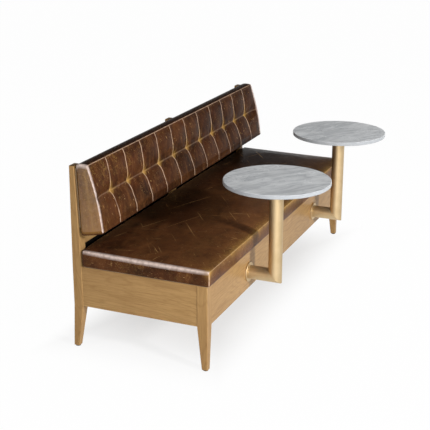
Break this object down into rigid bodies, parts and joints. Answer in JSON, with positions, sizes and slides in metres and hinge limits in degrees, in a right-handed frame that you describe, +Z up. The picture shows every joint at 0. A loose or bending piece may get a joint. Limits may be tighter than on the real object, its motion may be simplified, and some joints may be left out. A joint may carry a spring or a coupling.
{
  "type": "restaurant bench",
  "caption": "Oak restaurant bench with a leather seat pad, a biscuit-tufted leather back and small round marble tables on brass arms.",
  "frame": {"origin": "on the floor, in the middle of the whole footprint with the tables", "axes": "+X along the bench, to the right of someone facing its front, +Y from the front to the back, +Z up"},
  "size_m": [1.928, 1.023, 0.855],
  "materials": {
    "oak": "satin lacquer",
    "framing": "sawn and planed",
    "plywood": "sanded",
    "lining": "stained black",
    "leather": "waxed, rubbed at the seams",
    "marble": "polished",
    "brass": "satin",
    "steel": "plain",
    "glide": "matt"
  },
  "bodies": {
    "root": {"arm_bolts": "steel", "back_board": "plywood", "back_centre_post": "oak", "back_cushion": "leather", "back_left_post": "oak", "back_right_post": "oak", "back_screws": "steel", "centre_bearer": "framing", "deck_screws": "steel", "front_apron": "oak", "front_left_corner_block": "framing", "front_left_glide": "glide", "front_left_leg": "oak", "front_right_corner_block": "framing", "front_right_glide": "glide", "front_right_leg": "oak", "left_backing_plate": "steel", "left_end_panel": "oak", "left_inner_bearer": "framing", "left_marble_top": "marble", "left_outer_bearer": "framing", "left_table_arm": "brass", "left_table_flange": "brass", "left_table_plate": "steel", "left_table_upright": "brass", "rear_apron_left": "oak", "rear_apron_right": "oak", "rear_left_corner_block": "framing", "rear_left_glide": "glide", "rear_lining_left": "lining", "rear_lining_right": "lining", "rear_right_corner_block": "framing", "rear_right_glide": "glide", "rear_seat_rail": "framing", "right_backing_plate": "steel", "right_end_panel": "oak", "right_inner_bearer": "framing", "right_marble_top": "marble", "right_outer_bearer": "framing", "right_table_arm": "brass", "right_table_flange": "brass", "right_table_plate": "steel", "right_table_upright": "brass", "seat_cushion": "leather", "seat_deck": "plywood"}
  },
  "joints": []
}
